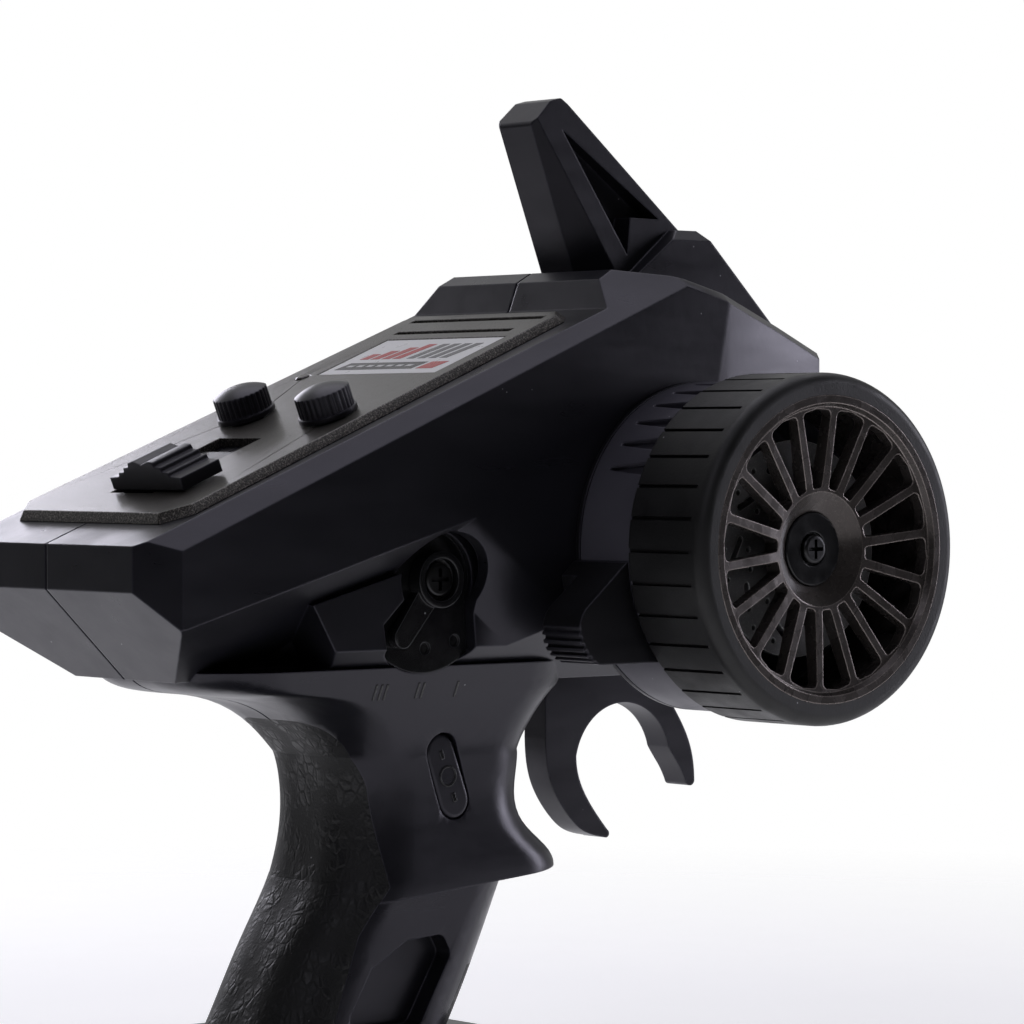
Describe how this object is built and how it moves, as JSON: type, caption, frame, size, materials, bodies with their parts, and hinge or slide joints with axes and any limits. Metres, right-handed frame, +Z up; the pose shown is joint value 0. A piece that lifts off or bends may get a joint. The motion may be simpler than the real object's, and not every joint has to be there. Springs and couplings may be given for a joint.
{
  "type": "pistol grip radio transmitter controller",
  "caption": "Pistol-grip radio controller: side steering wheel with spoked rim, finger trigger, sloped trim panel, aerial fin, rubber grip and battery base.",
  "frame": {"origin": "centre of the resting face under the base, on the handset's centre plane", "axes": "+X towards the steering wheel side, +Y towards the nose, +Z up"},
  "size_m": [0.097, 0.1638, 0.1932],
  "materials": {
    "shell_plastic": "fine satin texture",
    "panel_bronze": "brushed grey-bronze film with speckled bevel",
    "label_film": "printed film",
    "lamp_lens": "tinted clear lens",
    "knob_plastic": "moulded",
    "trigger_plastic": "satin",
    "ring_plastic": "satin",
    "fin_plastic": "satin",
    "grip_rubber": "leather-like grain",
    "tyre_rubber": "grooved foam rubber",
    "rim_gunmetal": "gunmetal lacquer",
    "disc_silver": "silver paint",
    "hub_black": "glossy",
    "screw_steel": "black oxide",
    "bright_steel": "turned",
    "spring_steel": "drawn wire",
    "component_black": "moulded",
    "board_green": "solder resist",
    "aerial_wire": "bare",
    "cell_jacket": "plain jacket",
    "contact_metal": "plated"
  },
  "bodies": {
    "handset": {"housing_right": "shell_plastic", "housing_left": "shell_plastic", "rear_grip_skin": "grip_rubber", "front_grip_skin": "grip_rubber", "housing_screws": "screw_steel", "control_panel": "panel_bronze", "panel_label": "label_film", "status_lamp": "lamp_lens", "trim_encoders": "component_black", "power_switch_body": "component_black", "main_board": "board_green", "antenna_fin": "fin_plastic", "aerial_rod": "aerial_wire", "wheel_base_ring": "ring_plastic", "steering_pot": "component_black", "steering_spring": "spring_steel", "trigger_pot": "component_black", "trigger_spring": "spring_steel", "selector_plate": "hub_black", "selector_screw": "screw_steel", "button_switch": "component_black", "base_shell": "shell_plastic", "door_pin": "bright_steel", "battery_cells": "cell_jacket", "battery_contacts": "contact_metal", "rubber_feet": "grip_rubber"},
    "wheel": {"wheel_rim": "rim_gunmetal", "tyre": "tyre_rubber", "brake_disc": "disc_silver", "hub_cap": "hub_black", "wheel_screw": "screw_steel", "steering_shaft": "bright_steel"},
    "throttle": {"trigger": "trigger_plastic", "trigger_shaft": "bright_steel"},
    "steering_trim": {"steering_trim_knob": "knob_plastic"},
    "throttle_trim": {"throttle_trim_knob": "knob_plastic"},
    "slider": {"power_slider": "knob_plastic"},
    "selector": {"rate_selector": "hub_black"},
    "aux_button": {"side_button": "shell_plastic"},
    "dial": {"rate_lever": "knob_plastic"},
    "door": {"battery_door": "shell_plastic"}
  },
  "joints": [
    {"name": "steering_turn", "type": "hinge", "parent": "handset", "child": "wheel", "pos_m": [0.04, 0.06, 0.112], "axis": [1, 0, 0], "range_deg": [-35, 35], "stiffness_Nm_per_rad": 0.03},
    {"name": "trigger_pull", "type": "hinge", "parent": "handset", "child": "throttle", "pos_m": [0, 0.062, 0.099], "axis": [1, 0, 0], "range_deg": [-13, 9], "stiffness_Nm_per_rad": 0.12},
    {"name": "steering_trim_turn", "type": "hinge", "parent": "handset", "child": "steering_trim", "pos_m": [-0.009, -0.01231, 0.13677], "axis": [0, -0.3746, 0.9272], "range_deg": [-140, 140]},
    {"name": "throttle_trim_turn", "type": "hinge", "parent": "handset", "child": "throttle_trim", "pos_m": [0.0145, -0.01231, 0.13677], "axis": [0, -0.3746, 0.9272], "range_deg": [-140, 140]},
    {"name": "power_slide", "type": "slide", "parent": "handset", "child": "slider", "axis": [0, 0.9272, 0.3746], "range_m": [0, 0.004]},
    {"name": "selector_turn", "type": "hinge", "parent": "handset", "child": "selector", "pos_m": [0.0225, 0.0046, 0.107], "axis": [1, 0, 0], "range_deg": [0, 64]},
    {"name": "button_press", "type": "slide", "parent": "handset", "child": "aux_button", "axis": [-1, 0, 0], "range_m": [0, 0.0012], "stiffness_N_per_m": 900},
    {"name": "dial_turn", "type": "hinge", "parent": "handset", "child": "dial", "pos_m": [0.037, 0.06, 0.112], "axis": [1, 0, 0], "range_deg": [-8, 8]},
    {"name": "door_open", "type": "hinge", "parent": "handset", "child": "door", "pos_m": [-0.0319, 0, 0.005], "axis": [0, -1, 0], "range_deg": [0, 90]}
  ]
}
